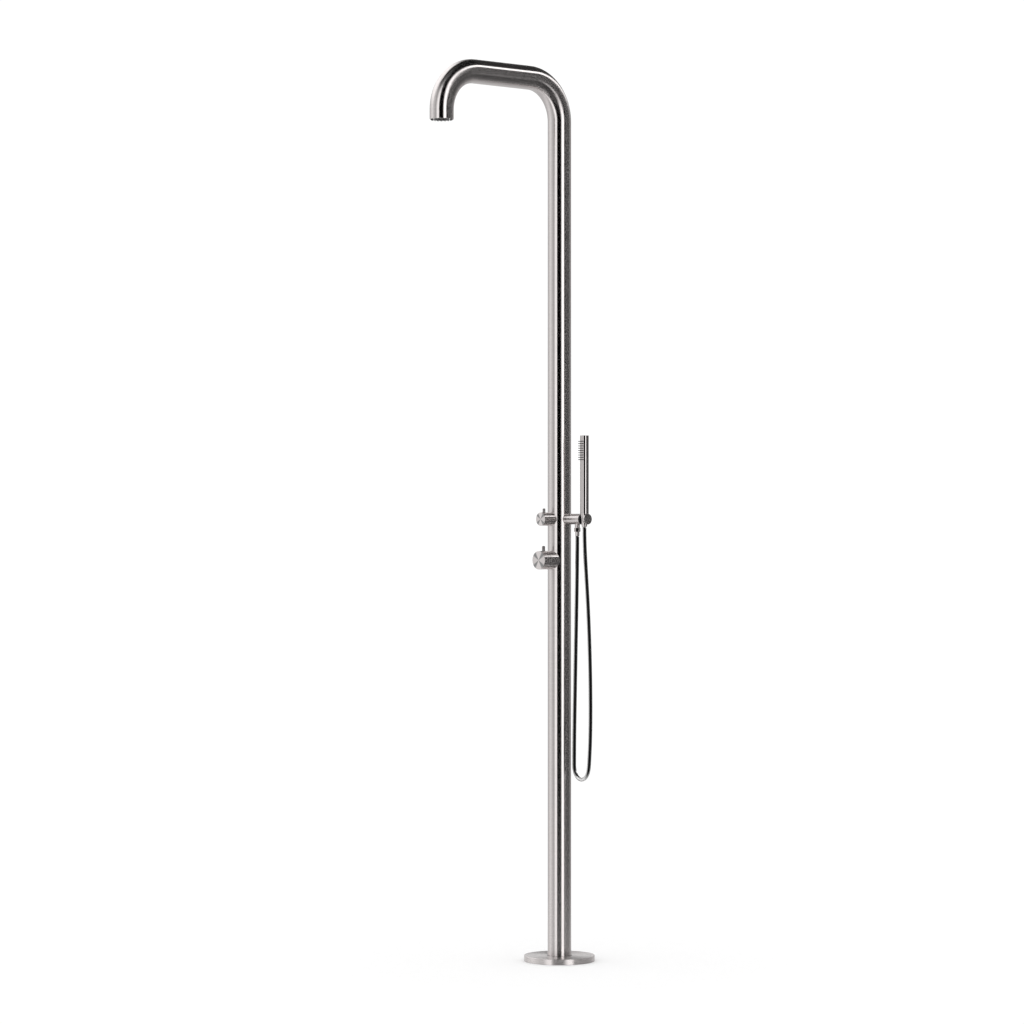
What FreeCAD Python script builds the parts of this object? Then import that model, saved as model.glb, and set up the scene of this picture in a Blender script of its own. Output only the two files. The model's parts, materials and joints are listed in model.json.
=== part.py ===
import FreeCAD, Part
import math
import os

# Outdoor shower post of brushed stainless steel, in millimetres.
# Origin: on the floor, on the axis of the post. +Z up; the arm and both knobs point to -Y,
# the hand shower's holder points to +X.

# ---- Post ----
post_d = 60.0                # outside diameter of the bent tube
post_wall = 2.0
arm_height = 2235.0          # centreline of the arm above the floor
arm_reach = 393.0            # from the axis of the post to the axis of the outlet
bend_radius = 104.0          # of the centreline, both bends
outlet_drop = 127.0          # from the arm's centreline down to its open end

# ---- Base ----
cover_d = 180.0              # round cover that hides the anchor plate
cover_height = 14.0
cover_wall = 2.0
cover_chamfer = 1.0
anchor_d = 160.0
anchor_thickness = 8.0
anchor_recess = 3.0          # depth at which the post stands in the plate
anchor_pcd = 120.0
anchor_holes = 4
anchor_hole_d = 11.0
seal_width = 1.6             # rubber ring between the cover and the post
seal_height = 4.0

# ---- Water inlets and pipes ----
inlet_spacing = 28.0         # between the hot and the cold inlet
inlet_height = 22.0          # mouth of the couplings above the floor
inlet_thread_d = 18.6        # bore of a female G1/2 thread
inlet_thread_length = 16.0
coupling_d = 25.0
coupling_length = 40.0
check_valve_d = 16.0
check_valve_length = 13.0
check_valve_wall = 1.5
check_valve_web = 2.0        # across the seat, carries the poppet
supply_pipe_d = 12.0
link_pipe_d = 12.0
riser_pipe_d = 14.0
side_pipe_d = 14.0
pipe_wall = 1.0
pipe_insertion = 8.0         # how deep a pipe sits in its socket
spacer_thickness = 6.0
boss_wall = 2.0              # around a pipe's socket
boss_height = 8.0            # a port stands this far out of its valve body
water_channel_d = 8.0

# ---- Valves: the mixer below, the diverter above it ----
mixer_height = 1018.0        # of the axis above the floor
mixer_knob_d = 47.0
mixer_knob_reach = 71.4      # from the axis of the post to the knob's face
mixer_knob_wall = 6.5
mixer_pin_d = 8.0
mixer_pin_height = 12.5      # above the knob's rim
mixer_pin_reach = 54.5       # from the axis of the post
mixer_body_d = 38.0
mixer_cartridge_d = 25.0
mixer_stem_d = 8.0
valve_spacing = 104.0        # between the axes of the mixer and the diverter
diverter_knob_d = 34.0
diverter_knob_reach = 65.0
diverter_knob_wall = 5.0
diverter_pin_d = 7.0
diverter_pin_height = 10.0
diverter_pin_reach = 53.0
diverter_body_d = 29.0
diverter_cartridge_d = 18.0
diverter_stem_d = 7.0
sleeve_reach = 47.2          # from the axis of the post to the seam between sleeve and knob
sleeve_wall = 2.0
sleeve_web = 3.0             # ring inside the sleeve, held by the nut
neck_wall = 3.0
nut_thickness = 4.0
nut_cap = 1.5                # front wall of the nut, which keeps the cartridge in
nut_recess = 0.2             # of the nut in the end of the sleeve
nut_hole_gap = 0.8           # round the stem where it passes the nut
cartridge_length = 44.0
stem_insertion = 12.0        # of the stem in the cartridge
knob_hollow = 8.5            # depth of the recess in the back of a knob
knob_floor = 3.0             # solid metal between the stem's bore and the knob's face
edge_chamfer = 0.6
pin_seat = 1.0               # flat seat under the pin
grub_d = 5.0
grub_length = 6.0

# ---- Holder of the hand shower, with the hose outlet under it ----
holder_d = 27.0
holder_reach = 107.0         # from the axis of the post to the holder's end face
cradle_reach = 93.5          # from the axis of the post to the axis of the hand shower
cradle_slot = 16.0           # free width of the slot that lets the hose through
liner_thickness = 1.2
hose_outlet_reach = 67.0
nipple_d = 12.8
nipple_drop = 8.5            # visible length under the holder
nipple_insertion = 6.0
nipple_thread_d = 11.2
nipple_thread_length = 4.0
nipple_bore = 7.0

# ---- Hand shower ----
stick_d = 22.0
stick_wall = 1.5
stick_length = 196.0
cone_rise = 15.0             # joint between stick and cone nut above the holder's axis
cone_length = 34.0
cone_bottom_d = 13.0
stick_end_wall = 2.0
spray_rows = 9
spray_columns = 3
spray_row_pitch = 5.75
spray_column_pitch = 5.0
spray_end = 15.0             # from the stick's top to the highest row
spray_nozzle_d = 2.2
spray_nozzle_reach = 16.5    # from the axis of the stick to the tips
spray_mat_thickness = 1.2
spray_mat_margin = 5.0
stick_thread_d = 13.6
stick_plug_length = 13.0
stick_spigot_d = 12.8
stick_spigot_length = 8.0
core_wall = 1.5
washer_thickness = 2.0

# ---- Hose ----
hose_d = 10.0
hose_bore = 6.4
hose_nut_flats = 14.0
hose_nut_height = 10.0
hose_nut_turn = -12.4        # degrees from the holder's direction to a corner, once tightened
hose_nut_floor = 2.5
ferrule_d = 10.8
ferrule_length = 10.0
ferrule_neck_d = 9.0
ferrule_collar = 2.0
hose_tail_d = 8.4            # of the fitting that turns in the cone nut
hose_tail_collar_d = 11.0
hose_tail_collar = 6.0
hose_barb_length = 12.0

# ---- Overhead spray ----
head_recess = 0.8            # of the spray plate in the open end of the arm
head_plate = 1.8
head_mat = 1.6
head_nozzle_pitch = 8.5
head_nozzle_rings = 3
head_nozzle_d = 3.2
head_nozzle_tip_d = 2.2
head_nozzle_reach = 2.6      # tips below the end of the arm
head_chamber_height = 18.0
head_chamber_wall = 2.0
head_socket_depth = 10.0

# ---- Clearances ----
seat_gap = 0.1               # round a piece that sits still in its bore
run_gap = 0.05               # round a stem that turns in its bore
free_gap = 0.3               # between pieces that move apart
seam_gap = 0.8               # visible seam between sleeve and knob

# ---- Worked out from the sizes above ----
UP = FreeCAD.Vector(0, 0, 1)
DOWN = FreeCAD.Vector(0, 0, -1)
FRONT = FreeCAD.Vector(0, -1, 0)
SIDE = FreeCAD.Vector(1, 0, 0)
post_r = post_d / 2
bore_r = post_r - post_wall
neck_end = sleeve_reach - nut_cap - nut_recess
outlet_height = arm_height - outlet_drop
diverter_height = mixer_height + valve_spacing
holder_height = diverter_height
holder_bottom = holder_height - holder_d / 2
nipple_bottom = holder_bottom - nipple_drop
cone_top = holder_height + cone_rise
cone_bottom = cone_top - cone_length
stick_top = cone_top + stick_length
spray_top = stick_top - spray_end
stick_r = stick_d / 2
stick_bore_r = stick_r - stick_wall
hose_start = nipple_bottom - hose_nut_height - ferrule_length
side_pipe_end = hose_outlet_reach - nipple_d
thread_end = nipple_bottom - nipple_thread_length
washer_top = cone_top - stick_thread_d
washer_bottom = washer_top - washer_thickness
tail_top = washer_bottom - free_gap
tail_bottom = tail_top - hose_tail_collar
core_r = stick_spigot_d / 2 + seat_gap + core_wall
head_plate_bottom = outlet_height + head_recess
head_mat_bottom = head_plate_bottom + head_plate
head_mat_top = head_mat_bottom + head_mat

# Route of the hose, chosen by hand: out of the ferrule, down beside the post, round the
# hanging loop and up to the cone nut. The x and y of each point and its depth below the holder's axis.
hose_route = [
    (hose_outlet_reach, 0, holder_height - hose_start),
    (hose_outlet_reach, 0, 72),
    (65.8, 0.3, 126),
    (62.8, 0.9, 230),
    (57.9, 2.3, 358),
    (53.2, 3.9, 476),
    (50.3, 5.0, 556),
    (49.2, 5.7, 606),
    (49.0, 5.8, 635),
    (61.6, 3.6, 652.5),
    (82.0, 0, 659.2),
    (102.4, -3.6, 652.5),
    (115.0, -5.8, 635),
    (117.8, -5.7, 606),
    (120.2, -4.9, 556),
    (120.6, -3.9, 476),
    (117.4, -2.9, 358),
    (109.4, -1.6, 230),
    (98.0, -0.4, 112),
    (cradle_reach, 0, 52),
    (cradle_reach, 0, holder_height - cone_bottom + free_gap),
]


def at(x, y, z):
    return FreeCAD.Vector(x, y, z)


def rod(diameter, start, direction, length):
    return Part.makeCylinder(diameter / 2, length, start, direction)


def ring(outer_d, inner_d, start, direction, length):
    return rod(outer_d, start, direction, length).cut(rod(inner_d, start, direction, length))


def taper(d_start, d_end, start, direction, length):
    return Part.makeCone(d_start / 2, d_end / 2, length, start, direction)


def block(low, high):
    size = high - low
    return Part.makeBox(size.x, size.y, size.z, low)


def join(pieces):
    whole = pieces[0]
    for piece in pieces[1:]:
        whole = whole.fuse(piece)
    return whole.removeSplitter()


def rounded_path(points, bend=None):
    """Straight runs joined by tangent arcs; without a bend radius each arc is as large as its runs allow."""
    corners = [FreeCAD.Vector(*p) for p in points]
    edges, radii = [], []
    here = corners[0]
    for before, corner, after in zip(corners, corners[1:], corners[2:]):
        back = (before - corner).normalize()
        ahead = (after - corner).normalize()
        half_turn = (math.pi - back.getAngle(ahead)) / 2
        shorter = min((before - corner).Length, (after - corner).Length)
        radius = bend or 0.45 * shorter / math.tan(half_turn)
        cut = radius * math.tan(half_turn)
        inward = (back + ahead).normalize()
        middle = corner + inward * (radius / math.cos(half_turn) - radius)
        edges.append(Part.LineSegment(here, corner + back * cut).toShape())
        edges.append(Part.Arc(corner + back * cut, middle, corner + ahead * cut).toShape())
        here = corner + ahead * cut
        radii.append(radius)
    edges.append(Part.LineSegment(here, corners[-1]).toShape())
    return Part.Wire(edges), radii


def swept(path, diameter):
    first = path.Edges[0]
    start = first.Vertexes[0].Point
    section = Part.Wire(Part.makeCircle(diameter / 2, start, first.tangentAt(first.FirstParameter)))
    return path.makePipeShell([section], True, False)


def swept_tube(path, outer_d, inner_d):
    return swept(path, outer_d).cut(swept(path, inner_d))


def save(node, shape):
    shape.exportStep(os.path.join("parts", node + ".step"))


# ---- Post and base ----
def arm_corners(start_height, end_height):
    return [
        (0, 0, start_height),
        (0, 0, arm_height),
        (0, -arm_reach, arm_height),
        (0, -arm_reach, end_height),
    ]


def column_tube():
    foot = anchor_thickness - anchor_recess
    path, _ = rounded_path(arm_corners(foot, outlet_height), bend_radius)
    tube = swept_tube(path, post_d, 2 * bore_r)
    for height, cartridge in ((mixer_height, mixer_cartridge_d), (diverter_height, diverter_cartridge_d)):
        tube = tube.cut(rod(neck_d(cartridge) + 2 * seat_gap, at(0, 0, height), FRONT, post_d))
    return tube.cut(rod(side_pipe_d + 2 * seat_gap, at(0, 0, holder_height), SIDE, post_d))


def anchor_plate():
    plate = ring(anchor_d, 2 * bore_r, at(0, 0, 0), UP, anchor_thickness)
    recess = rod(post_d, at(0, 0, anchor_thickness - anchor_recess), UP, anchor_recess)
    plate = plate.cut(recess)
    for i in range(anchor_holes):
        angle = math.radians(45 + 360 * i / anchor_holes)
        centre = at(anchor_pcd / 2 * math.cos(angle), anchor_pcd / 2 * math.sin(angle), 0)
        plate = plate.cut(rod(anchor_hole_d, centre, UP, anchor_thickness))
    return plate


def base_cover():
    hole_d = post_d + 2 * seal_width + 2 * seat_gap
    disc = rod(cover_d, at(0, 0, 0), UP, cover_height)
    top_edge = [e for e in disc.Edges if abs(e.CenterOfMass.z - cover_height) < 1e-6 and e.Closed]
    disc = disc.makeChamfer(cover_chamfer, top_edge)
    inside = rod(cover_d - 2 * cover_wall, at(0, 0, 0), UP, cover_height - cover_wall)
    collar = rod(hole_d + 2 * cover_wall, at(0, 0, cover_height - seal_height), UP, seal_height)
    hole = rod(hole_d, at(0, 0, 0), UP, cover_height)
    return disc.cut(inside).fuse(collar).cut(hole).removeSplitter()


def cover_seal():
    inner = post_d + 2 * seat_gap
    outer = inner + 2 * seal_width - 2 * seat_gap
    return ring(outer, inner, at(0, 0, cover_height - seal_height), UP, seal_height)


# ---- Water inlets and pipes ----
def inlet_coupling(x):
    foot = at(x, 0, inlet_height)
    valve_start = inlet_height + inlet_thread_length
    body = rod(coupling_d, foot, UP, coupling_length)
    thread = rod(inlet_thread_d, foot, UP, inlet_thread_length)
    pocket = rod(check_valve_d, at(x, 0, valve_start), UP, check_valve_length)
    socket = rod(supply_pipe_d + 2 * seat_gap, foot, UP, coupling_length)
    return body.cut(thread).cut(pocket).cut(socket)


def check_valve(x):
    start = at(x, 0, inlet_height + inlet_thread_length)
    outer = check_valve_d - 2 * seat_gap
    seat_d = outer - 2 * check_valve_wall
    web = check_valve_web
    case = ring(outer, seat_d, start, UP, check_valve_length)
    spider = block(at(x - seat_d / 2, -web / 2, start.z), at(x + seat_d / 2, web / 2, start.z + web))
    poppet = taper(seat_d - 4 * web, seat_d - 2 * web, at(x, 0, start.z + web), UP, 2 * web)
    return join([case, spider.common(rod(outer - check_valve_wall, start, UP, web)), poppet])


def check_valves():
    return Part.makeCompound([check_valve(side * inlet_spacing / 2) for side in (-1, 1)])


def inlet_spacer():
    start = at(0, 0, inlet_height + coupling_length)
    disc = rod(2 * bore_r - 2 * seat_gap, start, UP, spacer_thickness)
    for side in (-1, 1):
        centre = start + SIDE * side * inlet_spacing / 2
        disc = disc.cut(rod(supply_pipe_d + 2 * seat_gap, centre, UP, spacer_thickness))
    return disc


def supply_pipe(x):
    start = inlet_height + coupling_length - pipe_insertion
    end = mixer_height - mixer_body_d / 2 - boss_height + pipe_insertion
    return ring(supply_pipe_d, supply_pipe_d - 2 * pipe_wall, at(x, 0, start), UP, end - start)


def link_pipe():
    start = mixer_height + mixer_body_d / 2 + boss_height - pipe_insertion
    end = diverter_height - diverter_body_d / 2 - boss_height + pipe_insertion
    return ring(link_pipe_d, link_pipe_d - 2 * pipe_wall, at(0, 0, start), UP, end - start)


def riser_pipe():
    start = diverter_height + diverter_body_d / 2 + boss_height - pipe_insertion
    end = head_mat_top + head_chamber_height - head_socket_depth
    path, _ = rounded_path(arm_corners(start, end), bend_radius)
    return swept_tube(path, riser_pipe_d, riser_pipe_d - 2 * pipe_wall)


def side_pipe():
    start = side_boss_end() - pipe_insertion
    length = side_pipe_end - start
    return ring(side_pipe_d, side_pipe_d - 2 * pipe_wall, at(start, 0, holder_height), SIDE, length)


# ---- Valves ----
def neck_d(cartridge_d):
    return cartridge_d + 2 * seat_gap + 2 * neck_wall


def side_boss_end():
    return math.sqrt((bore_r - free_gap) ** 2 - (side_pipe_d / 2 + seat_gap + boss_wall) ** 2)


def valve_body(height, body_d, cartridge_d, ports):
    """Body inside the post with its neck through the wall. A port is its x, its direction and its pipe."""
    centre = at(0, 0, height)
    front = math.sqrt((bore_r - free_gap) ** 2 - (body_d / 2) ** 2)
    back = max(pipe_d for _, _, pipe_d in ports) / 2 + 2 * boss_wall
    solids = [
        rod(body_d, centre - FRONT * back, FRONT, back + front),
        rod(neck_d(cartridge_d), centre, FRONT, neck_end),
    ]
    seat = centre + FRONT * (neck_end - cartridge_length)
    holes = [rod(cartridge_d + 2 * seat_gap, seat, FRONT, cartridge_length)]
    for x, direction, pipe_d in ports:
        foot = centre + SIDE * x
        length = side_boss_end() if direction is SIDE else body_d / 2 + boss_height
        socket_start = foot + direction * (length - pipe_insertion)
        solids.append(rod(pipe_d + 2 * seat_gap + 2 * boss_wall, foot, direction, length))
        holes.append(rod(pipe_d + 2 * seat_gap, socket_start, direction, pipe_insertion))
        holes.append(rod(water_channel_d, foot, direction, length))
    body = join(solids)
    for hole in holes:
        body = body.cut(hole)
    return body


def cartridge(height, diameter, stem_d):
    start = at(0, 0, height) + FRONT * (neck_end - cartridge_length)
    body = rod(diameter, start, FRONT, cartridge_length)
    bore_start = start + FRONT * (cartridge_length - stem_insertion)
    return body.cut(rod(stem_d + 2 * run_gap, bore_start, FRONT, stem_insertion))


def retaining_nut(height, knob_d, cartridge_d, stem_d):
    start = at(0, 0, height) + FRONT * (neck_end - nut_thickness)
    outer = knob_d - 2 * sleeve_wall - 2 * edge_chamfer
    nut = rod(outer, start, FRONT, nut_thickness + nut_cap)
    nut = nut.cut(rod(neck_d(cartridge_d) + 2 * seat_gap, start, FRONT, nut_thickness))
    return nut.cut(rod(stem_d + 2 * nut_hole_gap, start, FRONT, nut_thickness + nut_cap))


def sleeve(height, knob_d, cartridge_d):
    centre = at(0, 0, height)
    shell = ring(knob_d, knob_d - 2 * sleeve_wall, centre, FRONT, sleeve_reach)
    web_start = centre + FRONT * (neck_end - nut_thickness - sleeve_web)
    web = ring(knob_d - sleeve_wall, neck_d(cartridge_d) + 2 * seat_gap, web_start, FRONT, sleeve_web)
    post = rod(post_d, at(0, 0, height - knob_d), UP, 2 * knob_d)
    return join([shell, web]).cut(post)


def stem(height, diameter, knob_reach):
    start = neck_end - stem_insertion + free_gap
    end = knob_reach - knob_floor - free_gap
    return rod(diameter, at(0, 0, height) + FRONT * start, FRONT, end - start)


def knob(height, diameter, wall, reach, stem_d, pin_d, pin_reach):
    centre = at(0, 0, height)
    back = sleeve_reach + seam_gap
    outside = rod(diameter, centre + FRONT * back, FRONT, reach - back)
    face_edge = [e for e in outside.Edges if abs(e.CenterOfMass.y + reach) < 1e-6 and e.Closed]
    outside = outside.makeChamfer(edge_chamfer, face_edge)
    hollow = ring(diameter - 2 * wall, stem_d + 2 * wall, centre + FRONT * back, FRONT, knob_hollow)
    bore = rod(stem_d + 2 * run_gap, centre + FRONT * back, FRONT, reach - back - knob_floor)
    rim = diameter / 2 - pin_seat
    foot = centre + FRONT * pin_reach
    pin_hole = rod(pin_d + 2 * seat_gap, foot + UP * rim, UP, 2 * pin_seat)
    spigot_hole = rod(pin_d / 2 + 2 * seat_gap, foot + UP * (diameter / 2 - wall), UP, wall)
    screw_at = centre + FRONT * grub_reach(reach)
    screw_hole = rod(grub_d + 2 * run_gap, screw_at, DOWN, diameter / 2)
    solid = outside.cut(hollow).cut(bore)
    return solid.cut(pin_hole).cut(spigot_hole).cut(screw_hole)


def grub_reach(reach):
    return (sleeve_reach + seam_gap + knob_hollow + reach) / 2


def knob_pin(height, knob_diameter, wall, diameter, pin_height, pin_reach):
    foot = at(0, -pin_reach, height + knob_diameter / 2 - pin_seat)
    body = rod(diameter, foot, UP, pin_seat + pin_height)
    tip_height = foot.z + pin_seat + pin_height
    tip = [e for e in body.Edges if abs(e.CenterOfMass.z - tip_height) < 1e-6 and e.Closed]
    body = body.makeFillet(diameter / 4, tip)
    spigot_length = wall - pin_seat - seat_gap
    return body.fuse(rod(diameter / 2, foot - UP * spigot_length, UP, spigot_length))


def grub_screw(height, reach, stem_d):
    top = at(0, -grub_reach(reach), height - stem_d / 2 - run_gap)
    screw = rod(grub_d, top, DOWN, grub_length)
    return screw.cut(Part.makeCylinder(grub_d / 4, grub_length / 2, top - UP * grub_length, UP))


# ---- Holder ----
def cone_d(z, extra):
    """Outside diameter of the cone nut at a height, with a gap or wall added all round."""
    slope = (stick_d - cone_bottom_d) / cone_length
    return cone_bottom_d + (z - cone_bottom) * slope + 2 * extra


def cradle_space(extra):
    """The tapered seat of the cone nut with its slot to the front, wider by extra all round."""
    low = holder_bottom - edge_chamfer
    high = low + holder_d + 2 * edge_chamfer
    gap = free_gap + extra
    seat = taper(cone_d(low, gap), cone_d(high, gap), at(cradle_reach, 0, low), UP, high - low)
    half = cradle_slot / 2 + extra
    slot = block(at(cradle_reach - half, -holder_d, low), at(cradle_reach + half, 0, high))
    return seat.fuse(slot)


def holder_bar():
    centre = at(0, 0, holder_height)
    bar = rod(holder_d, centre, SIDE, holder_reach)
    end_edge = [e for e in bar.Edges if abs(e.CenterOfMass.x - holder_reach) < 1e-6 and e.Closed]
    bar = bar.makeChamfer(edge_chamfer, end_edge)
    bar = bar.cut(rod(post_d, at(0, 0, holder_bottom), UP, holder_d))
    bar = bar.cut(rod(side_pipe_d + 2 * seat_gap, centre, SIDE, side_pipe_end))
    bar = bar.cut(rod(nipple_bore, centre, SIDE, hose_outlet_reach))
    outlet = at(hose_outlet_reach, 0, holder_height)
    bar = bar.cut(rod(nipple_bore, outlet, DOWN, holder_d))
    bar = bar.cut(rod(nipple_d, outlet - UP * (holder_d / 2 - nipple_insertion), DOWN, holder_d))
    return bar.cut(cradle_space(liner_thickness + seat_gap))


def holder_liner():
    envelope = rod(holder_d, at(post_r, 0, holder_height), SIDE, holder_reach - edge_chamfer - post_r)
    return cradle_space(liner_thickness).common(envelope).cut(cradle_space(0))


def outlet_nipple():
    top = holder_bottom + nipple_insertion
    shank = rod(nipple_d, at(hose_outlet_reach, 0, nipple_bottom), UP, top - nipple_bottom)
    thread = rod(nipple_thread_d, at(hose_outlet_reach, 0, thread_end), UP, nipple_thread_length)
    bore = rod(nipple_bore, at(hose_outlet_reach, 0, thread_end), UP, top - thread_end)
    return join([shank, thread]).cut(bore)


# ---- Hose and its fittings ----
def hose_nut():
    foot = at(hose_outlet_reach, 0, nipple_bottom - hose_nut_height)
    corner_r = hose_nut_flats / 2 / math.cos(math.pi / 6)
    angles = [math.radians(hose_nut_turn + 60 * i) for i in range(7)]
    corners = [foot + at(math.cos(angle), math.sin(angle), 0) * corner_r for angle in angles]
    nut = Part.Face(Part.makePolygon(corners)).extrude(UP * hose_nut_height)
    nut = nut.cut(rod(ferrule_neck_d + 2 * seat_gap, foot, UP, hose_nut_height))
    inside = rod(nipple_thread_d + 2 * seat_gap, foot + UP * hose_nut_floor, UP, hose_nut_height)
    return nut.cut(inside)


def hose_ferrule():
    foot = at(hose_outlet_reach, 0, hose_start)
    nut_foot = foot + UP * ferrule_length
    sleeve_part = rod(ferrule_d, foot, UP, ferrule_length)
    neck = rod(ferrule_neck_d, nut_foot, UP, hose_nut_floor)
    collar = rod(ferrule_d, nut_foot + UP * hose_nut_floor, UP, ferrule_collar)
    bore = rod(hose_bore, foot, UP, ferrule_length + hose_nut_floor + ferrule_collar)
    return join([sleeve_part, neck, collar]).cut(bore)


def hose_washer():
    start = hose_start + ferrule_length + hose_nut_floor + ferrule_collar
    return ring(nipple_thread_d, hose_bore, at(hose_outlet_reach, 0, start), UP, thread_end - start)


def shower_hose():
    points = [(x, y, holder_height - depth) for x, y, depth in hose_route]
    path, radii = rounded_path(points)
    hose = swept_tube(path, hose_d, hose_bore)
    section = math.pi * (hose_d ** 2 - hose_bore ** 2) / 4
    print("hose length", round(path.Length, 1), "volume / (section x length)",
          round(hose.Volume / (section * path.Length), 5))
    print("hose radii", [round(radius, 1) for radius in radii])
    return hose


def hose_tail():
    foot = at(cradle_reach, 0, tail_bottom)
    neck_bottom = cone_bottom
    collar = rod(hose_tail_collar_d, foot, UP, hose_tail_collar)
    neck = rod(hose_tail_d, at(cradle_reach, 0, neck_bottom), UP, tail_bottom - neck_bottom)
    barb_d = hose_bore - 2 * seat_gap
    barb = rod(barb_d, at(cradle_reach, 0, neck_bottom - hose_barb_length), UP, hose_barb_length)
    bore_start = at(cradle_reach, 0, neck_bottom - hose_barb_length)
    bore = rod(barb_d - 2 * pipe_wall, bore_start, UP, tail_top - bore_start.z)
    return join([collar, neck, barb]).cut(bore)


def cone_nut():
    foot = at(cradle_reach, 0, cone_bottom)
    nut = taper(cone_bottom_d, stick_d, foot, UP, cone_length)
    through = rod(hose_tail_d + 2 * free_gap, foot, UP, cone_length)
    chamber_start = tail_bottom - free_gap
    chamber_foot = at(cradle_reach, 0, chamber_start)
    chamber = rod(hose_tail_collar_d + 2 * free_gap, chamber_foot, UP, washer_top - chamber_start)
    thread_foot = at(cradle_reach, 0, washer_bottom)
    thread = rod(stick_thread_d + 2 * seat_gap, thread_foot, UP, cone_top - washer_bottom)
    return nut.cut(through).cut(chamber).cut(thread)


def cone_washer():
    foot = at(cradle_reach, 0, washer_bottom)
    return ring(stick_thread_d, hose_bore, foot, UP, washer_thickness)


# ---- Hand shower ----
def spray_places():
    for row in range(spray_rows):
        for column in range(spray_columns):
            x = (column - (spray_columns - 1) / 2) * spray_column_pitch
            yield at(cradle_reach + x, 0, spray_top - row * spray_row_pitch)


def stick_body():
    foot = at(cradle_reach, 0, cone_top)
    length = stick_top - cone_top
    body = rod(stick_d, foot, UP, length)
    top_edge = [e for e in body.Edges if abs(e.CenterOfMass.z - stick_top) < 1e-6 and e.Closed]
    body = body.makeChamfer(edge_chamfer, top_edge)
    body = body.cut(rod(2 * stick_bore_r, foot, UP, length - stick_end_wall))
    holes = [rod(spray_nozzle_d + 2 * seat_gap, place, FRONT, stick_d) for place in spray_places()]
    return body.cut(Part.makeCompound(holes))


def stick_nozzles():
    outer_d = 2 * stick_bore_r - 2 * seat_gap
    height = (spray_rows - 1) * spray_row_pitch + 2 * spray_mat_margin
    foot = at(cradle_reach, 0, spray_top + spray_mat_margin - height)
    mat = ring(outer_d, outer_d - 2 * spray_mat_thickness, foot, UP, height)
    half = (spray_columns - 1) / 2 * spray_column_pitch + spray_nozzle_d
    front = block(foot + at(-half, -stick_d, 0), foot + at(half, 0, height))
    pieces = [mat.common(front)]
    hollow = rod(outer_d - spray_mat_thickness, foot, UP, height)
    for place in spray_places():
        pieces.append(rod(spray_nozzle_d, place, FRONT, spray_nozzle_reach).cut(hollow))
    return join(pieces)


def stick_inlet():
    foot = at(cradle_reach, 0, cone_top)
    plug = rod(2 * stick_bore_r - 2 * seat_gap, foot, UP, stick_plug_length)
    thread = rod(stick_thread_d, at(cradle_reach, 0, washer_top), UP, cone_top - washer_top)
    spigot = rod(stick_spigot_d, foot + UP * stick_plug_length, UP, stick_spigot_length)
    bore = rod(water_channel_d, at(cradle_reach, 0, washer_top), UP, cone_length + stick_plug_length)
    return join([plug, thread, spigot]).cut(bore)


def stick_core():
    foot = at(cradle_reach, 0, cone_top + stick_plug_length)
    length = stick_top - stick_end_wall - free_gap - foot.z
    core = rod(2 * core_r, foot, UP, length)
    core = core.cut(rod(2 * core_r - 2 * core_wall, foot, UP, length - core_wall))
    height = (spray_rows - 1) * spray_row_pitch
    window_foot = at(cradle_reach, 0, spray_top - height)
    half = (spray_columns - 1) / 2 * spray_column_pitch
    return core.cut(block(window_foot + at(-half, -stick_d, 0), window_foot + at(half, 0, height)))


# ---- Overhead spray ----
def head_places():
    centre = at(0, -arm_reach, 0)
    yield centre
    for ring_number in range(1, head_nozzle_rings + 1):
        count = 6 * ring_number
        for i in range(count):
            angle = 2 * math.pi * i / count
            yield centre + at(math.cos(angle), math.sin(angle), 0) * (ring_number * head_nozzle_pitch)


def head_plate_disc():
    disc = rod(2 * bore_r - 2 * seat_gap, at(0, -arm_reach, head_plate_bottom), UP, head_plate)
    hole_d = head_nozzle_d + 2 * seat_gap
    holes = [rod(hole_d, place + UP * head_plate_bottom, UP, head_plate) for place in head_places()]
    return disc.cut(Part.makeCompound(holes))


def head_nozzles():
    mat = rod(2 * bore_r - 2 * seat_gap, at(0, -arm_reach, head_mat_bottom), UP, head_mat)
    tip = outlet_height - head_nozzle_reach
    pieces = [mat]
    for place in head_places():
        taper_length = head_plate_bottom - tip
        pieces.append(taper(head_nozzle_tip_d, head_nozzle_d, place + UP * tip, UP, taper_length))
        pieces.append(rod(head_nozzle_d, place + UP * head_plate_bottom, UP, head_plate))
    whole = join(pieces)
    length = head_mat_top - tip
    channels = [rod(head_nozzle_tip_d / 2, place + UP * tip, UP, length) for place in head_places()]
    return whole.cut(Part.makeCompound(channels))


def head_chamber():
    foot = at(0, -arm_reach, head_mat_top)
    outer = 2 * bore_r - 2 * seat_gap
    cup = rod(outer, foot, UP, head_chamber_height)
    hollow_height = head_chamber_height - head_socket_depth - head_chamber_wall
    hollow = rod(outer - 2 * head_chamber_wall, foot, UP, hollow_height)
    socket_start = foot + UP * (head_chamber_height - head_socket_depth)
    socket = rod(riser_pipe_d + 2 * seat_gap, socket_start, UP, head_socket_depth)
    channel = rod(riser_pipe_d - 2 * pipe_wall, foot, UP, head_chamber_height)
    return cup.cut(hollow).cut(socket).cut(channel)


def save_valve(name, height, knob_size, pin_size, body_d, cartridge_d, stem_d, ports):
    knob_d, wall, reach = knob_size
    pin_d, pin_height, pin_reach = pin_size
    save(name + "_body", valve_body(height, body_d, cartridge_d, ports))
    save(name + "_cartridge", cartridge(height, cartridge_d, stem_d))
    save(name + "_nut", retaining_nut(height, knob_d, cartridge_d, stem_d))
    save(name + "_sleeve", sleeve(height, knob_d, cartridge_d))
    save(name + "_stem", stem(height, stem_d, reach))
    save(name + "_knob", knob(height, knob_d, wall, reach, stem_d, pin_d, pin_reach))
    save(name + "_pin", knob_pin(height, knob_d, wall, pin_d, pin_height, pin_reach))
    save(name + "_grub_screw", grub_screw(height, reach, stem_d))


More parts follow.
